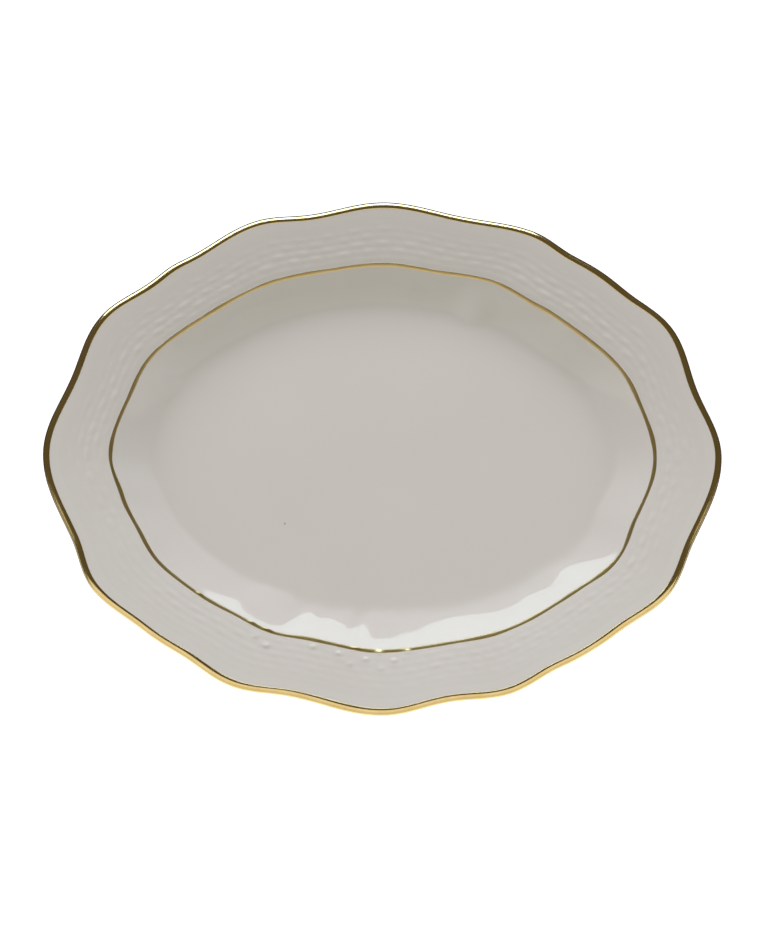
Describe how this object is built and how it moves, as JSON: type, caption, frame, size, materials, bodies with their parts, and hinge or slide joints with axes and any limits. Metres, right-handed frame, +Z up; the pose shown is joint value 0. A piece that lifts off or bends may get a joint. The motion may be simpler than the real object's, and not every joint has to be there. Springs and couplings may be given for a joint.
{
  "type": "serving platter",
  "caption": "Lobed oval porcelain serving platter with a flat well, a wide low-relief flange, a gilt lip and verge line, and an oval foot ring.",
  "frame": {"origin": "middle of the oval, on the plane of the foot ring's tread", "axes": "+X along the long axis, +Y across the oval, +Z up out of the well"},
  "size_m": [0.381, 0.292, 0.0317],
  "materials": {
    "biscuit": "matte, unglazed fired porcelain",
    "glaze": "glossy clear glaze over warm white porcelain",
    "gold": "bright burnished fired gold"
  },
  "bodies": {
    "root": {"biscuit_body": "biscuit", "foot_ring": "biscuit", "glaze_coat": "glaze", "glaze_inside_foot": "glaze", "gilt_edge_band": "gold", "gilt_verge_line": "gold"}
  },
  "joints": []
}
